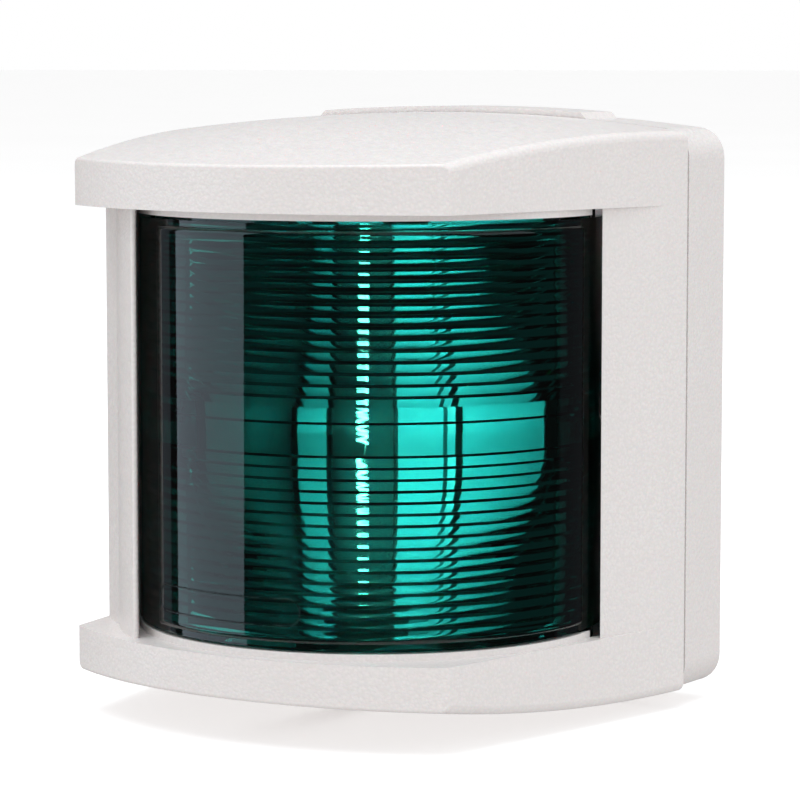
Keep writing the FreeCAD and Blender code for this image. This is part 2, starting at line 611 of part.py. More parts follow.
def along_screen(which, thickness, half_height, trim):
    """An upright slab centred on a screen's line, shortened by trim at both ends."""
    (x0, y0), (x1, y1) = screen_line(which)
    length = math.hypot(x1 - x0, y1 - y0)
    ux, uy = (x1 - x0) / length, (y1 - y0) / length
    sx, sy = -uy * thickness / 2, ux * thickness / 2
    x0, y0 = x0 + ux * trim, y0 + uy * trim
    x1, y1 = x1 - ux * trim, y1 - uy * trim
    plan = [(x0 + sx, y0 + sy), (x1 + sx, y1 + sy), (x1 - sx, y1 - sy), (x0 - sx, y0 - sy)]
    return plan_prism(plan, -half_height, half_height)


def sector_screen(which):
    return along_screen(which, SCREEN, SCREEN_HALF_HEIGHT, 0)


def screen_rails(which):
    """Grooved ribs in roof and floor that hold a screen's long edges."""
    rail = along_screen(which, SCREEN + 2 * RAIL_WALL, HALF_HEIGHT, 2.0)
    rail_foot = SCREEN_HALF_HEIGHT - RAIL_DEPTH
    middle = box(-60, 60, -80, 0, -rail_foot, rail_foot)
    return between_domes(rail.cut(middle), WALL / 2)


SIDE_EDGE_ROUND = 1.3
BROW_EDGE_ROUND = 0.45


def soft_roof_edges(solid):
    """Round the long edges where roof and floor meet the splayed sides."""
    def is_side_edge(edge):
        point = middle_of(edge)
        outboard = abs(point.x) > CHEEK_X + 1 and point.y < COVER_BACK - 5
        return outboard and abs(point.z) > LEDGE_HALF_HEIGHT + 3
    return solid.makeFillet(SIDE_EDGE_ROUND, edges_where(solid, is_side_edge))


def crisp_brow_edges(solid):
    def is_brow_edge(edge):
        point = middle_of(edge)
        return abs(point.z) > LEDGE_HALF_HEIGHT + 3 and point.y < CHEEK_Y - 5
    return solid.makeFillet(BROW_EDGE_ROUND, edges_where(solid, is_brow_edge))


def front_cover():
    cover = between_domes(brow_prism(-HALF_HEIGHT - 1, HALF_HEIGHT + 1), 0)
    cover = crisp_brow_edges(soft_roof_edges(cover))
    low, high = WINDOW_Z - LEDGE_HALF_HEIGHT, WINDOW_Z + LEDGE_HALF_HEIGHT
    around = box(-60, 60, -90, COVER_BACK, low, high)
    cover = cover.cut(around.cut(waist_prism(low, high)))
    cover = cover.cut(cover_cavity())
    for which in ("aft", "ahead"):
        cover = cover.fuse(screen_rails(which)).cut(sector_screen(which))
    sleeve = rod(CHANNEL_RADIUS + SLEEVE_WALL, (0, COVER_BACK, SCREW_Z), (0, CHEEK_Y, SCREW_Z))
    cover = cover.fuse(between_domes(sleeve, 0.3))
    cover = cover.cut(rod(CHANNEL_RADIUS, (0, SCREW_SEAT, SCREW_Z), (0, -80, SCREW_Z)))
    cover = cover.cut(rod(SCREW_RADIUS + 0.25, (0, SCREW_SEAT - 1, SCREW_Z), (0, COVER_BACK + 1, SCREW_Z)))
    cover = cover.cut(window())
    for side in (-1, 1):
        cover = cover.fuse(hook(side * HOOK_X))
    return cover.removeSplitter()


LENS_AFT = -60.0             # bearings of the lens flange's two ends
LENS_AHEAD = 121.0
FACE_AFT = WINDOW_AFT + 1    # bearings of the part in the window
FACE_AHEAD = WINDOW_AHEAD - 1
FACE_HALF_HEIGHT = WINDOW_HALF_HEIGHT - 0.4
PAD_AFT = -29.0              # bearings of the raised optical face
PAD_AHEAD = 94.4
PAD_HALF_HEIGHT = WINDOW_HALF_HEIGHT - 1.3
PAD_EDGE_ROUND = 0.7


def lens_inside():
    """Saw-toothed inner side: a plain band in the middle and rings above and below."""
    points = []
    count = int((WINDOW_HALF_HEIGHT - RING_PITCH) / RING_PITCH)
    for ring in range(count, 0, -1):
        outer_z = (ring + 0.9) * RING_PITCH
        inner_z = (ring - 0.1) * RING_PITCH
        points += [(LENS_INNER_RADIUS, outer_z), (LENS_INNER_RADIUS - RING_DEPTH, inner_z)]
    return points


def lens():
    upper = lens_inside()
    lower = [(r, -z) for r, z in reversed(upper)]
    body = [(FLANGE_RADIUS, LENS_HALF_HEIGHT), (LENS_INNER_RADIUS, LENS_HALF_HEIGHT)] + upper
    body += lower + [(LENS_INNER_RADIUS, -LENS_HALF_HEIGHT), (FLANGE_RADIUS, -LENS_HALF_HEIGHT)]
    shell = lens_sweep(body, LENS_AFT, LENS_AHEAD)
    root = FLANGE_RADIUS - 1
    face = lens_sweep(ring_profile(root, LENS_FACE_RADIUS, FACE_HALF_HEIGHT), FACE_AFT, FACE_AHEAD)
    pad = lens_sweep(ring_profile(root, LENS_PAD_RADIUS, PAD_HALF_HEIGHT), PAD_AFT, PAD_AHEAD)
    rim = edges_where(pad, lambda e: on_outer_rim(middle_of(e)))
    return shell.fuse(face).fuse(pad.makeFillet(PAD_EDGE_ROUND, rim)).removeSplitter()


def on_outer_rim(point):
    return math.hypot(point.x - LENS_X, point.y - LENS_Y) > LENS_PAD_RADIUS - 0.01


def lens_seal():
    band = lens_sweep(ring_profile(FLANGE_RADIUS, LENS_SEAT_RADIUS, LENS_HALF_HEIGHT), LENS_AFT, LENS_AHEAD)
    opening = lens_sweep(ring_profile(FLANGE_RADIUS - 1, LENS_SEAT_RADIUS + 1, WINDOW_HALF_HEIGHT + 0.5),
                         WINDOW_AFT - 1, WINDOW_AHEAD + 1)
    return band.cut(opening)


O_RING = 1.2                 # thickness of the rubber ring
O_RING_RADIUS = 2.6


def screw_o_ring():
    """Rubber ring that keeps the cover screw captive and seals its hole."""
    start, end = (0, SCREW_SEAT - O_RING, SCREW_Z), (0, SCREW_SEAT, SCREW_Z)
    ring = tube(O_RING_RADIUS, SCREW_RADIUS + 0.06, start, end)

    def is_outer_rim(edge):
        point = middle_of(edge)
        outside = math.hypot(point.x, point.z - SCREW_Z) > O_RING_RADIUS - 0.1
        return outside and edge.Length > 10
    return ring.makeFillet(O_RING / 3, edges_where(ring, is_outer_rim))


def cover_screw():
    tip = (0, SCREW_SEAT - O_RING + SCREW_LENGTH, SCREW_Z)
    return screw_with_slot(SCREW_RADIUS, 2.75, 2.0, tip, SCREW_LENGTH, SLOT)


# ---- write one STEP file per piece ---------------------------------------
PIECES = {
    "base_plate": base_plate,
    "seam_seal": seam_seal,
    "screw_insert": screw_insert,
    "cable_grommet": cable_grommet,
    "lamp_carrier": lamp_carrier,
    "carrier_screws": carrier_screws,
    "contact_strip_upper": lambda: contact_strip(1),
    "contact_strip_lower": lambda: contact_strip(-1),
    "wire_clamp_upper": lambda: wire_clamp(1),
    "wire_clamp_lower": lambda: wire_clamp(-1),
    "terminal_screw_upper": lambda: terminal_screw(1),
    "terminal_screw_lower": lambda: terminal_screw(-1),
    "terminal_nuts": terminal_nuts,
    "bulb_glass": bulb_glass,
    "bulb_cap_upper": lambda: bulb_cap(1),
    "bulb_cap_lower": lambda: bulb_cap(-1),
    "bulb_filament": bulb_filament,
    "front_cover": front_cover,
    "lens": lens,
    "lens_seal": lens_seal,
    "sector_screen_aft": lambda: sector_screen("aft"),
    "sector_screen_ahead": lambda: sector_screen("ahead"),
    "screw_o_ring": screw_o_ring,
    "cover_screw": cover_screw,
}

os.makedirs("parts", exist_ok=True)
for name, make in PIECES.items():
    shape = make()
    shape.exportStep("parts/" + name + ".step")
    extent = shape.BoundBox
    print(f"{name:22} solids {len(shape.Solids)} valid {shape.isValid()} volume {shape.Volume:9.1f}"
          f"  x {extent.XMin:6.1f} {extent.XMax:6.1f}  y {extent.YMin:6.1f} {extent.YMax:6.1f}"
          f"  z {extent.ZMin:6.1f} {extent.ZMax:6.1f}")
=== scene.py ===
import json
import math

import bmesh
import bpy
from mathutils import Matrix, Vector


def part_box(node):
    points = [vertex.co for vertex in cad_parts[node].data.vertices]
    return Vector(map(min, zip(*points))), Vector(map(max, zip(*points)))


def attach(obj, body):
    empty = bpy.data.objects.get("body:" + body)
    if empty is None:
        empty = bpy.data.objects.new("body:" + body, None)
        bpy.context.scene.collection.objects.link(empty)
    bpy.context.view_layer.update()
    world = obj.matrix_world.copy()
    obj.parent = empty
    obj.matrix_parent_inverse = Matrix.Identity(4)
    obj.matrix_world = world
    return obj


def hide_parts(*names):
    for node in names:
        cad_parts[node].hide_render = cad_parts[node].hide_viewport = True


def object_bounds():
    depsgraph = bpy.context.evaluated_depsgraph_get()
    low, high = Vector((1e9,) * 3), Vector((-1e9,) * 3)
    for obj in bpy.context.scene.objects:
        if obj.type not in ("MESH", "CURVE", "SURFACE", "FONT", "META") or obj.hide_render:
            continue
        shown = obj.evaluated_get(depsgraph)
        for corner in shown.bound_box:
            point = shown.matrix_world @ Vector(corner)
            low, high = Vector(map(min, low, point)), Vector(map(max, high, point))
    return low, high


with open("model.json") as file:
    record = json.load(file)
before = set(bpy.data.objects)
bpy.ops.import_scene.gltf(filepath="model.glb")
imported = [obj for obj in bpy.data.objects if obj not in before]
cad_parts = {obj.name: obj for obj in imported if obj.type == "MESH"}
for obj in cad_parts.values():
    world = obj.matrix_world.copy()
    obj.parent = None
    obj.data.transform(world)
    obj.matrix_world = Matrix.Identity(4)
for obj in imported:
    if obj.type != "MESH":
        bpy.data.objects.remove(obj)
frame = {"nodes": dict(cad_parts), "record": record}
cad_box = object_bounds()
nodes = frame["nodes"]
MM = 0.001

# ---- lens dimensions, in metres, as in the CAD ----------------------------
LENS_X = 1.9 * MM                 # upright axis of the lens
LENS_Y = -34.8 * MM
WINDOW_Z = -0.3 * MM
BASE_RADIUS = 34.2 * MM           # the part that fills the window
PAD_RADIUS = 34.85 * MM           # the raised optical face on it
FLANGE_RADIUS = 32.0 * MM
INNER_RADIUS = 30.0 * MM
FLANGE_HALF = 32.3 * MM
FACE_HALF = 29.6 * MM
PAD_HALF = 28.7 * MM
LENS_AFT, LENS_AHEAD = -60.0, 121.0      # degrees from abeam towards ahead
FACE_AFT, FACE_AHEAD = -55.0, 117.5
PAD_AFT, PAD_AHEAD = -29.0, 94.4
PAD_CORNER = 0.8 * MM             # rounding of its top and bottom edges
PAD_SIDE = 1.4                    # and of its side edges, in degrees
RING_PITCH = 1.61 * MM
PLAIN_LOW, PLAIN_HIGH = -2.65 * MM, 0.4 * MM    # plain band across the middle
GUARD_RINGS = 2                   # shallow rings above the plain band
GUARD_SLOPE = 0.30
DRAFT = 0.3                       # the rings' steps lean, so that the lens leaves its mould:
STEP = 0.28 * MM                  # their height is this much, and DRAFT times their depth
FOCUS = 28.5 * MM                 # from the filament to the rings
LENS_IOR = 1.5
EDGE_GAP = 0.02 * MM              # keeps two profile points apart where a step meets the plain band

# ---- the bulb: painted glow on its filament, and lamps that light the carrier ---
FILAMENT_STRENGTH = 1200.0
WIRE_RADIUS = 0.2 * MM
AFT_GLOW, AHEAD_GLOW = 0.014, 0.018      # watts
GLOW_HEIGHTS = ((-15 * MM, 0.15), (0, 0.55), (15 * MM, 2.2))      # each with its share
GLOW_ASIDE = 8 * MM               # from the bulb's axis
GLOW_FORWARD = 4 * MM             # from the bulb's back

# ---- studio -----------------------------------------------------------------
SOFTBOX_COLOUR = (0.90, 0.96, 1.0)
MIRROR_COLOUR = (0.72, 0.86, 1.0)
FLOOR_GAP = 0.2 * MM              # the floor lies this far under the object
FLOOR_HALF = 60.0                 # metres
FILL, DIM, WHITE = 0.84, 0.04, 1.0       # world strengths
CAMERA_PLACE = (0.2777, -0.4458, 0.0509)
CAMERA_AZIMUTH, CAMERA_DROP = 33.4, 5.67        # degrees
CAMERA_LENS, CAMERA_SENSOR = 151.47, 36         # millimetres


def place_object(name, data):
    """A new object in the scene."""
    piece = bpy.data.objects.new(name, data)
    bpy.context.scene.collection.objects.link(piece)
    return piece


def finish_mesh(mesh, name, material):
    """Turn a bmesh into an object with one material."""
    bmesh.ops.recalc_face_normals(mesh, faces=mesh.faces)
    data = bpy.data.meshes.new(name)
    mesh.to_mesh(data)
    mesh.free()
    data.materials.append(material)
    return place_object(name, data)


# ---- node helpers ----------------------------------------------------------
class Nodes:
    """A material's node tree, with short calls to add and join nodes."""

    def __init__(self, name):
        self.material = bpy.data.materials.new(name)
        self.material.use_nodes = True
        self.tree = self.material.node_tree
        self.tree.nodes.clear()
        self.output = self.add("ShaderNodeOutputMaterial")
        self.place = self.add("ShaderNodeTexCoord").outputs["Object"]

    def add(self, kind, **settings):
        node = self.tree.nodes.new(kind)
        for key, value in settings.items():
            setattr(node, key, value)
        return node

    def join(self, source, target):
        self.tree.links.new(source, target)

    def noise(self, scale, detail=2.0, roughness=0.5, stretch=None):
        node = self.add("ShaderNodeTexNoise")
        node.inputs["Scale"].default_value = scale
        node.inputs["Detail"].default_value = detail
        node.inputs["Roughness"].default_value = roughness
        if stretch:
            mapping = self.add("ShaderNodeMapping")
            mapping.inputs["Scale"].default_value = stretch
            self.join(self.place, mapping.inputs["Vector"])
            self.join(mapping.outputs["Vector"], node.inputs["Vector"])
        else:
            self.join(self.place, node.inputs["Vector"])
        return node.outputs["Fac"]

    def spread(self, value, low, high, start=0.3, end=0.7):
        """Map a noise value to a range."""
        node = self.add("ShaderNodeMapRange")
        node.inputs["From Min"].default_value = start
        node.inputs["From Max"].default_value = end
        node.inputs["To Min"].default_value = low
        node.inputs["To Max"].default_value = high
        self.join(value, node.inputs["Value"])
        return node.outputs["Result"]

    def mix(self, factor, first, second):
        """Blend two colours, or a colour socket with a colour."""
        node = self.add("ShaderNodeMix", data_type="RGBA")
        self.join(factor, node.inputs["Factor"])
        for socket, value in ((node.inputs[6], first), (node.inputs[7], second)):
            if isinstance(value, tuple):
                socket.default_value = (*value, 1)
            else:
                self.join(value, socket)
        return node.outputs[2]

    def bump(self, height, distance, strength=1.0, below=None):
        node = self.add("ShaderNodeBump")
        node.inputs["Distance"].default_value = distance
        node.inputs["Strength"].default_value = strength
        self.join(height, node.inputs["Height"])
        if below:
            self.join(below, node.inputs["Normal"])
        return node.outputs["Normal"]

    def surface(self, **settings):
        """A Principled shader on the output. Plain numbers go on its own sockets."""
        shader = self.add("ShaderNodeBsdfPrincipled")
        for name, value in settings.items():
            socket = shader.inputs[name.replace("_", " ")]
            if isinstance(value, bpy.types.NodeSocket):
                self.join(value, socket)
            elif isinstance(value, tuple):
                socket.default_value = (*value, 1)
            else:
                socket.default_value = value
        self.join(shader.outputs["BSDF"], self.output.inputs["Surface"])
        return self.material


def edge_wear_and_highlight(make, shade, rubbed_and_highlit, reach):
    """Lighten a shade along exposed edges, reach metres wide: partly wear, partly a painted highlight."""
    bevel = make.add("ShaderNodeBevel", samples=4)
    bevel.inputs["Radius"].default_value = reach
    geometry = make.add("ShaderNodeNewGeometry")
    dot = make.add("ShaderNodeVectorMath", operation="DOT_PRODUCT")
    make.join(bevel.outputs["Normal"], dot.inputs[0])
    make.join(geometry.outputs["Normal"], dot.inputs[1])
    return make.mix(make.spread(dot.outputs["Value"], 0.6, 0.0, 0.75, 1.0), shade, rubbed_and_highlit)


# ---- materials -------------------------------------------------------------
def housing_plastic():
    """Warm off-white moulded plastic with a fine leathery grain."""
    make = Nodes("housing_plastic")
    patches = make.spread(make.noise(60, 3.0), 0.0, 1.0)
    shade = make.mix(patches, (0.835, 0.785, 0.77), (0.865, 0.82, 0.805))
    # edges lightened: partly wear, partly painted highlight
    shade = edge_wear_and_highlight(make, shade, (0.87, 0.84, 0.83), 0.4 * MM)
    pits = make.add("ShaderNodeTexVoronoi", feature="SMOOTH_F1")
    pits.inputs["Scale"].default_value = 2100
    make.join(make.place, pits.inputs["Vector"])
    pit_shade = make.spread(pits.outputs["Distance"], 0.0, 1.0, 0.15, 0.55)
    shade = make.mix(pit_shade, shade, (0.80, 0.76, 0.745))
    normal = make.bump(make.noise(2400, 2.0, 0.6), 0.10 * MM, 0.6)
    normal = make.bump(pits.outputs["Distance"], 0.10 * MM, 0.5, normal)
    normal = make.bump(make.noise(240, 2.0), 0.12 * MM, 0.15, normal)
    rough = make.spread(make.noise(900, 2.0), 0.36, 0.50)
    return make.surface(Base_Color=shade, Roughness=rough, Normal=normal,
                        Subsurface_Weight=0.05, Subsurface_Scale=2 * MM)


def carrier_plastic():
    """Smooth white reflector plastic, a little dusty, its colour darkened to grey as painted shade."""
    make = Nodes("carrier_plastic")
    dust = make.spread(make.noise(150, 4.0), 0.0, 1.0)
    # both greys are darker than the white plastic: painted shade; the noise between them is dust
    shade = make.mix(dust, (0.66, 0.67, 0.66), (0.60, 0.61, 0.60))
    rough = make.spread(make.noise(500, 2.0), 0.06, 0.14)
    normal = make.bump(make.noise(700), 0.03 * MM, 0.3)
    return make.surface(Base_Color=shade, Roughness=rough, Normal=normal)


def screen_plastic():
    """Matt black plastic with a sparkle-free grain."""
    make = Nodes("screen_plastic")
    patches = make.spread(make.noise(200, 3.0), 0.0, 1.0)
    shade = make.mix(patches, (0.035, 0.036, 0.038), (0.055, 0.055, 0.056))
    rough = make.spread(make.noise(900), 0.65, 0.8)
    normal = make.bump(make.noise(2200), 0.05 * MM, 0.5)
    return make.surface(Base_Color=shade, Roughness=rough, Normal=normal)


def seal_rubber():
    """Dark rubber with a dry bloom in patches."""
    make = Nodes("seal_rubber")
    bloom = make.spread(make.noise(300, 4.0), 0.0, 1.0)
    shade = make.mix(bloom, (0.02, 0.019, 0.018), (0.045, 0.043, 0.04))
    rough = make.spread(make.noise(600), 0.6, 0.8)
    normal = make.bump(make.noise(1800), 0.06 * MM, 0.5)
    return make.surface(Base_Color=shade, Roughness=rough, Normal=normal)


def metal(name, bright, dull, low_rough, high_rough, turned=(1, 1, 8)):
    """Turned or pressed metal: fine tool marks, dulled in patches."""
    make = Nodes(name)
    tarnish = make.spread(make.noise(400, 4.0), 0.0, 1.0)
    shade = make.mix(tarnish, bright, dull)
    # edges brightened: partly wear, partly painted highlight
    shade = edge_wear_and_highlight(make, shade, bright, 0.15 * MM)
    marks = make.noise(1500, 2.0, 0.5, turned)
    rough = make.spread(marks, low_rough, high_rough)
    normal = make.bump(marks, 0.02 * MM, 0.3)
    return make.surface(Base_Color=shade, Metallic=1.0, Roughness=rough, Normal=normal)


def lens_plastic():
    """Deep green transparent plastic, polished, with faint moulding ripples."""
    make = Nodes("lens_plastic")
    streaks = make.spread(make.noise(40, 2.0), 0.0, 1.0)
    shade = make.mix(streaks, (0.010, 0.36, 0.295), (0.010, 0.33, 0.285))
    ripples = make.noise(120, 2.0)
    normal = make.bump(ripples, 0.02 * MM, 0.15)
    rough = make.spread(make.noise(800), 0.0, 0.05)
    return make.surface(Base_Color=shade, Transmission_Weight=1.0, IOR=LENS_IOR,
                        Roughness=rough, Normal=normal)


def bulb_glass():
    """Clear glass, very slightly smoked near the filament."""
    make = Nodes("bulb_glass")
    smoke = make.spread(make.noise(150, 2.0), 0.0, 1.0)
    shade = make.mix(smoke, (0.97, 0.99, 1.0), (0.92, 0.96, 0.98))
    normal = make.bump(make.noise(300), 0.01 * MM, 0.2)
    return make.surface(Base_Color=shade, Transmission_Weight=1.0, IOR=1.3, Roughness=0.12, Normal=normal)


def filament_painted_glow():
    """The filament, given a painted glow that stands in for the bright streak in the bulb, in random warmer
    and cooler patches.
    """
    make = Nodes("filament_painted_glow")
    glow_patches = make.spread(make.noise(900, 2.0), 0.0, 1.0)
    painted_glow = make.mix(glow_patches, (1.0, 0.30, 0.24), (1.0, 0.40, 0.32))
    # the emission is painted light standing in for the bright streak the bulb shows
    return make.surface(Base_Color=(0.4, 0.4, 0.42), Metallic=1.0, Roughness=0.4,
                        Emission_Color=painted_glow, Emission_Strength=FILAMENT_STRENGTH)


housing = housing_plastic()
carrier = carrier_plastic()
screens = screen_plastic()
rubber = seal_rubber()
steel = metal("stainless_steel", (0.66, 0.66, 0.65), (0.50, 0.50, 0.50), 0.22, 0.40)
brass = metal("brass", (0.80, 0.61, 0.32), (0.55, 0.42, 0.24), 0.25, 0.45)
plating = metal("nickel_plating", (0.75, 0.73, 0.68), (0.58, 0.56, 0.52), 0.20, 0.36)
glass = bulb_glass()
painted_glow = filament_painted_glow()
green = lens_plastic()

FINISHES = {
    "housing": housing, "carrier": carrier, "screen": screens, "seal_rubber": rubber,
    "stainless": steel, "brass": brass, "plated_brass": plating, "bulb_glass": glass,
    "filament": painted_glow, "green_lens": green,
}
for part in frame["record"]["subparts"]:
    finish = FINISHES[part["material_slot"]]
    for place in nodes[part["node"]].material_slots:
        place.material = finish


# ---- lens ------------------------------------------------------------------
def rise(value, start, end):
    """Smooth rounded step from 0 to 1 between start and end."""
    share = min(max((value - start) / (end - start), 0.0), 1.0)
    return math.sqrt(1 - (1 - share) ** 2)


def outer_radius(bearing, z):
    """Radius of the lens's outside: a flange, the window part, and the raised face on it."""
    if abs(z) > FACE_HALF or not FACE_AFT <= bearing <= FACE_AHEAD:
        return FLANGE_RADIUS
    lift = rise(PAD_HALF - abs(z), 0.0, PAD_CORNER)
    lift *= rise(bearing - PAD_AFT, 0.0, PAD_SIDE) * rise(PAD_AHEAD - bearing, 0.0, PAD_SIDE)
    return BASE_RADIUS + (PAD_RADIUS - BASE_RADIUS) * lift


def ring_slope(z):
    """Slope of the facet at height z that turns the filament's light level."""
    climb = math.atan2(abs(z), FOCUS)
    return math.sin(climb) / (LENS_IOR - math.cos(climb))


def ring(thick_z, thin_z, slope, bulge):
    """One ring's facet from its thick edge to its thin edge, slightly curved by bulge."""
    depth = slope * (abs(thin_z - thick_z) - STEP) / (1 + slope * DRAFT)
    start = thick_z + math.copysign(STEP + DRAFT * depth, thin_z - thick_z)
    steps = 4
    points = []
    for step in range(steps + 1):
        share = step / steps
        cut = depth * (1 - share) * (1 - bulge * share)
        points.append((INNER_RADIUS - cut, start + (thin_z - start) * share))
    return points


def inner_profile():
    """(r, z) points up the inside: rings below, the plain band, guard rings, and rings above.

    The rings below are a little steeper and hollow, those above a little flatter and bulged."""
    rings_start = PLAIN_HIGH + GUARD_RINGS * RING_PITCH
    below = []
    for i in range(int((FACE_HALF + PLAIN_LOW) / RING_PITCH)):
        thick = PLAIN_LOW - i * RING_PITCH
        below += ring(thick, thick - RING_PITCH, 1.08 * ring_slope(thick - RING_PITCH), -0.2)
    above = []
    for i in range(GUARD_RINGS):
        thin = PLAIN_HIGH + i * RING_PITCH
        above += ring(thin + RING_PITCH, thin, GUARD_SLOPE, 0.0)[::-1]
    for i in range(int((FACE_HALF - rings_start) / RING_PITCH)):
        thick = rings_start + i * RING_PITCH
        above += ring(thick, thick + RING_PITCH, 0.93 * ring_slope(thick + RING_PITCH), 0.25)
    low = [(INNER_RADIUS, -FLANGE_HALF)] + below[::-1] + [(INNER_RADIUS, PLAIN_LOW + EDGE_GAP)]
    return low + [(INNER_RADIUS, PLAIN_HIGH - EDGE_GAP)] + above + [(INNER_RADIUS, FLANGE_HALF)]


def spaced(start, end, step):
    count = max(1, round(abs(end - start) / step))
    return [start + (end - start) * i / count for i in range(count + 1)]


def around(radius, bearing, z):
    angle = math.radians(bearing)
    return Vector((LENS_X + radius * math.sin(angle), LENS_Y - radius * math.cos(angle), WINDOW_Z + z))


def lens_bearings():
    tiny = 0.02
    edges = spaced(LENS_AFT, FACE_AFT - tiny, 1.5) + spaced(FACE_AFT, PAD_AFT, 1.5)
    edges += spaced(PAD_AFT + 0.1, PAD_AFT + 1.4, 0.2) + spaced(PAD_AFT + 2, PAD_AHEAD - 2, 1.0)
    edges += spaced(PAD_AHEAD - 1.4, PAD_AHEAD - 0.1, 0.2) + spaced(PAD_AHEAD, FACE_AHEAD, 1.5)
    return edges + spaced(FACE_AHEAD + tiny, LENS_AHEAD, 1.5)


def lens_heights():
    tiny = 0.005 * MM
    upper = spaced(0, PAD_HALF - 0.9 * MM, 2 * MM) + spaced(PAD_HALF - 0.8 * MM, PAD_HALF, 0.08 * MM)
    upper += [FACE_HALF - 0.25 * MM, FACE_HALF, FACE_HALF + tiny, FLANGE_HALF]
    return [-z for z in reversed(upper[1:])] + upper


def grid_faces(mesh, rows, flip):
    """Join rows of vertices into quads."""
    faces = []
    for lower, upper in zip(rows, rows[1:]):
        for i in range(len(lower) - 1):
            corners = [lower[i], lower[i + 1], upper[i + 1], upper[i]]
            faces.append(mesh.faces.new(corners[::-1] if flip else corners))
    return faces


def build_lens():
    bearings = lens_bearings()
    mesh = bmesh.new()
    outside = [[mesh.verts.new(around(outer_radius(b, z), b, z)) for b in bearings] for z in lens_heights()]
    inside = [[mesh.verts.new(around(r, b, z)) for b in bearings] for r, z in inner_profile()]
    smooth = grid_faces(mesh, outside, False)
    rings = grid_faces(mesh, inside, True)
    grid_faces(mesh, [inside[0], outside[0]], False)
    grid_faces(mesh, [outside[-1], inside[-1]], False)
    for column in (0, -1):
        outline = [row[column] for row in outside] + [row[column] for row in reversed(inside)]
        mesh.faces.new(outline if column else outline[::-1])
    for face in smooth + rings:
        face.smooth = True
    lens = finish_mesh(mesh, "lens_body", green)
    sharpen(lens, 20)
    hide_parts("lens")
    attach(lens, "cover")


def sharpen(obj, degrees):
    """Mark edges sharper than an angle, so the rest shades smooth."""
    mesh = bmesh.new()
    mesh.from_mesh(obj.data)
    limit = math.radians(degrees)
    for edge in mesh.edges:
        if len(edge.link_faces) == 2:
            edge.smooth = edge.calc_face_angle() < limit
    mesh.to_mesh(obj.data)
    mesh.free()


build_lens()


def sweep_tube(name, path, radius, closed, material, sides=8):
    """A round bead of a given radius along a list of points."""
    mesh = bmesh.new()
    rings = []
    count = len(path)
    for i, point in enumerate(path):
        before = path[(i - 1) % count] if closed or i > 0 else point
        after = path[(i + 1) % count] if closed or i < count - 1 else point
        along = (after - before).normalized()
        side = along.cross(Vector((0, 0, 1)) if abs(along.z) < 0.9 else Vector((1, 0, 0))).normalized()
        up = side.cross(along)
        turn = [2 * math.pi * k / sides for k in range(sides)]
        rings.append([mesh.verts.new(point + (side * math.cos(a) + up * math.sin(a)) * radius) for a in turn])
    pairs = list(zip(rings, rings[1:])) + ([(rings[-1], rings[0])] if closed else [])
    for first, second in pairs:
        for k in range(sides):
            beside = (k + 1) % sides
            mesh.faces.new([first[k], first[beside], second[beside], second[k]]).smooth = True
    if not closed:
        mesh.faces.new(rings[0][::-1])
        mesh.faces.new(rings[-1])
    return finish_mesh(mesh, name, material)


def cartouche_outline():
    """A blank pill-shaped frame moulded low on the lens's aft side."""
    half_height, radius = 1.9 * MM, PAD_RADIUS - 0.03 * MM
    middle_z, aft, ahead = -24.4 * MM, -27.0, 17.0
    end_turn = math.degrees(half_height / radius)
    aft_end, ahead_end = aft + end_turn, ahead - end_turn
    length = ahead - aft - 2 * end_turn
    straight_steps, end_steps = 40, 12
    path = []
    for start, way, edge in ((aft_end, 1, -half_height), (ahead_end, -1, half_height)):
        for step in range(straight_steps + 1):
            path.append(around(radius, start + way * length * step / straight_steps, middle_z + edge))
        turn_middle = ahead_end if way > 0 else aft_end
        for step in range(1, end_steps):
            angle = -way * math.pi / 2 + math.pi * step / end_steps
            bearing = turn_middle + end_turn * math.cos(angle)
            path.append(around(radius, bearing, middle_z + half_height * math.sin(angle)))
    frame_bead = sweep_tube("lens_cartouche", path, 0.13 * MM, True, green)
    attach(frame_bead, "cover")


cartouche_outline()


def filament_parts():
    """The coil as a real helix, on a bent lead from each cap."""
    low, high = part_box("bulb_filament")
    x, y = (low[0] + high[0]) / 2, (low[1] + high[1]) / 2
    coil_half, coil_radius, turns, steps = 4.6 * MM, 0.75 * MM, 9, 14
    path = []
    for i in range(turns * steps + 1):
        angle = 2 * math.pi * i / steps
        z = -coil_half + 2 * coil_half * i / (turns * steps)
        path.append(Vector((x + coil_radius * math.cos(angle), y + coil_radius * math.sin(angle), z)))
    coil = sweep_tube("filament_coil", path, WIRE_RADIUS, False, painted_glow, 6)
    for side, end in (("upper", high[2]), ("lower", low[2])):
        start = path[-1] if side == "upper" else path[0]
        lead = [Vector((x, y, end)), Vector((x, y, start.z + (end - start.z) * 0.4)), start]
        wire = sweep_tube("filament_lead_" + side, lead, WIRE_RADIUS, False, steel, 6)
        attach(wire, "bulb")
    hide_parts("bulb_filament")
    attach(coil, "bulb")
    coil.visible_diffuse = False


filament_parts()


# ---- stage, lights and camera ----------------------------------------------
def stage_floor():
    """A wide white floor just under the object, out of its reflections."""
    low, _ = cad_box
    size = FLOOR_HALF
    data = bpy.data.meshes.new("floor")
    z = low[2] - FLOOR_GAP
    corners = [(-size, -size, z), (size, -size, z), (size, size, z), (-size, size, z)]
    data.from_pydata(corners, [], [(0, 1, 2, 3)])
    floor = place_object("floor", data)
    make = Nodes("floor_paper")
    mottle = make.spread(make.noise(3, 2.0), 0.0, 1.0)
    shade = make.mix(mottle, (0.97, 0.97, 0.97), (0.99, 0.99, 0.99))
    data.materials.append(make.surface(Base_Color=shade, Roughness=0.9,
                                       Emission_Color=(1.0, 1.0, 1.0), Emission_Strength=0.22))
    floor.visible_glossy = False
    floor.visible_transmission = False
    floor.visible_diffuse = False


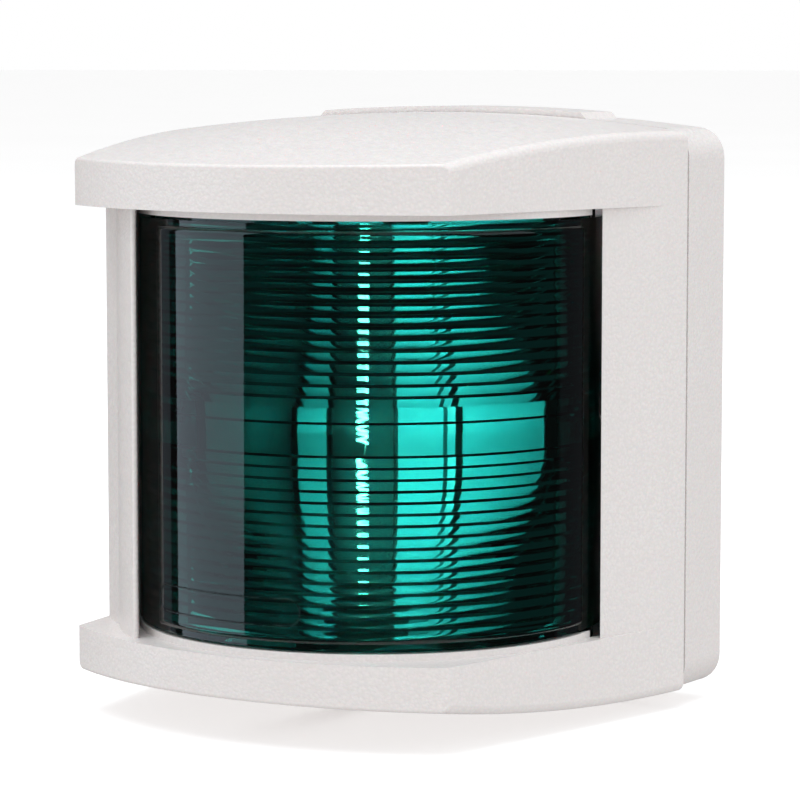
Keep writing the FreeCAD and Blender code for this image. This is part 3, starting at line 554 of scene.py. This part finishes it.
def softbox(name, bearing, elevation, distance, width, height, power, shades=True):
    """An area light at a bearing (from -Y towards +X) and elevation, facing the object.

    With shades off it is only there to be mirrored in the lens."""
    angle, climb = math.radians(bearing), math.radians(elevation)
    way = Vector((math.sin(angle) * math.cos(climb), -math.cos(angle) * math.cos(climb), math.sin(climb)))
    data = bpy.data.lights.new(name, "AREA")
    data.shape = "RECTANGLE"
    data.size = width
    data.size_y = height
    data.energy = power
    data.color = SOFTBOX_COLOUR if shades else MIRROR_COLOUR
    lamp = place_object(name, data)
    lamp.location = Vector((0, LENS_Y, 0)) + way * distance
    lamp.visible_diffuse = shades
    lamp.visible_transmission = False
    lamp.rotation_euler = way.to_track_quat("Z", "Y").to_euler()


def background(tree, shade, strength):
    """A grey world background of a given shade."""
    node = tree.nodes.new("ShaderNodeBackground")
    node.inputs["Color"].default_value = (shade, shade, shade, 1)
    node.inputs["Strength"].default_value = strength
    return node


def world_light():
    """White behind the object, dim in its reflections, soft fill on its surfaces."""
    world = bpy.data.worlds.new("studio")
    bpy.context.scene.world = world
    world.use_nodes = True
    tree = world.node_tree
    tree.nodes.clear()
    output = tree.nodes.new("ShaderNodeOutputWorld")
    rays = tree.nodes.new("ShaderNodeLightPath")
    fill = background(tree, 1, FILL)
    white = background(tree, 1, WHITE)
    dim = background(tree, 0.8, DIM)
    first = tree.nodes.new("ShaderNodeMixShader")
    second = tree.nodes.new("ShaderNodeMixShader")
    tree.links.new(rays.outputs["Is Diffuse Ray"], first.inputs["Fac"])
    tree.links.new(dim.outputs[0], first.inputs[1])
    tree.links.new(fill.outputs[0], first.inputs[2])
    tree.links.new(rays.outputs["Is Camera Ray"], second.inputs["Fac"])
    tree.links.new(first.outputs[0], second.inputs[1])
    tree.links.new(white.outputs[0], second.inputs[2])
    tree.links.new(second.outputs[0], output.inputs["Surface"])


def camera():
    """The viewpoint: about 33 degrees towards ahead and 6 degrees up."""
    azimuth, drop = math.radians(CAMERA_AZIMUTH), math.radians(CAMERA_DROP)
    view = Vector((-math.sin(azimuth) * math.cos(drop), math.cos(azimuth) * math.cos(drop), -math.sin(drop)))
    data = bpy.data.cameras.new("camera")
    data.sensor_width = CAMERA_SENSOR
    data.lens = CAMERA_LENS
    eye = place_object("camera", data)
    eye.location = CAMERA_PLACE
    eye.rotation_euler = view.to_track_quat("-Z", "Y").to_euler()
    bpy.context.scene.camera = eye


def glow_lamp(place, power):
    """One small lamp that lights the carrier but isn't itself seen."""
    data = bpy.data.lights.new("bulb_glow", "POINT")
    data.energy = power
    data.color = (0.85, 0.95, 1.0)
    data.shadow_soft_size = 1.5 * MM
    data.cycles.max_bounces = 2
    lamp = place_object("bulb_glow", data)
    lamp.location = place
    lamp.visible_camera = False
    lamp.visible_glossy = False
    lamp.visible_transmission = False


def lamp_glow():
    """Light onto the carrier: small lamps just outside the bulb's glass."""
    low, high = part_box("bulb_glass")
    middle = (low[0] + high[0]) / 2
    depth = high[1] - GLOW_FORWARD
    for height, share in GLOW_HEIGHTS:
        for side, power in ((-1, AFT_GLOW), (1, AHEAD_GLOW)):
            glow_lamp((middle + side * GLOW_ASIDE, depth, height), power * share)


bpy.context.scene.view_settings.view_transform = "Standard"
stage_floor()
world_light()
lamp_glow()
# name, bearing, elevation, distance, width, height (metres), power (watts), shades
softbox("mirror_wide", -51.5, 8, 1.2, 1.0, 1.5, 7.5, False)
softbox("mirror_narrow", -87, 0, 1.2, 0.33, 1.5, 0.35, False)
softbox("mirror_ahead", 144, 0, 1.2, 0.42, 1.3, 0.1, False)
softbox("key_ahead", 100, 25, 1.6, 1.0, 1.0, 2.2)
softbox("key_top", 10, 75, 1.3, 1.2, 1.2, 10)
camera()
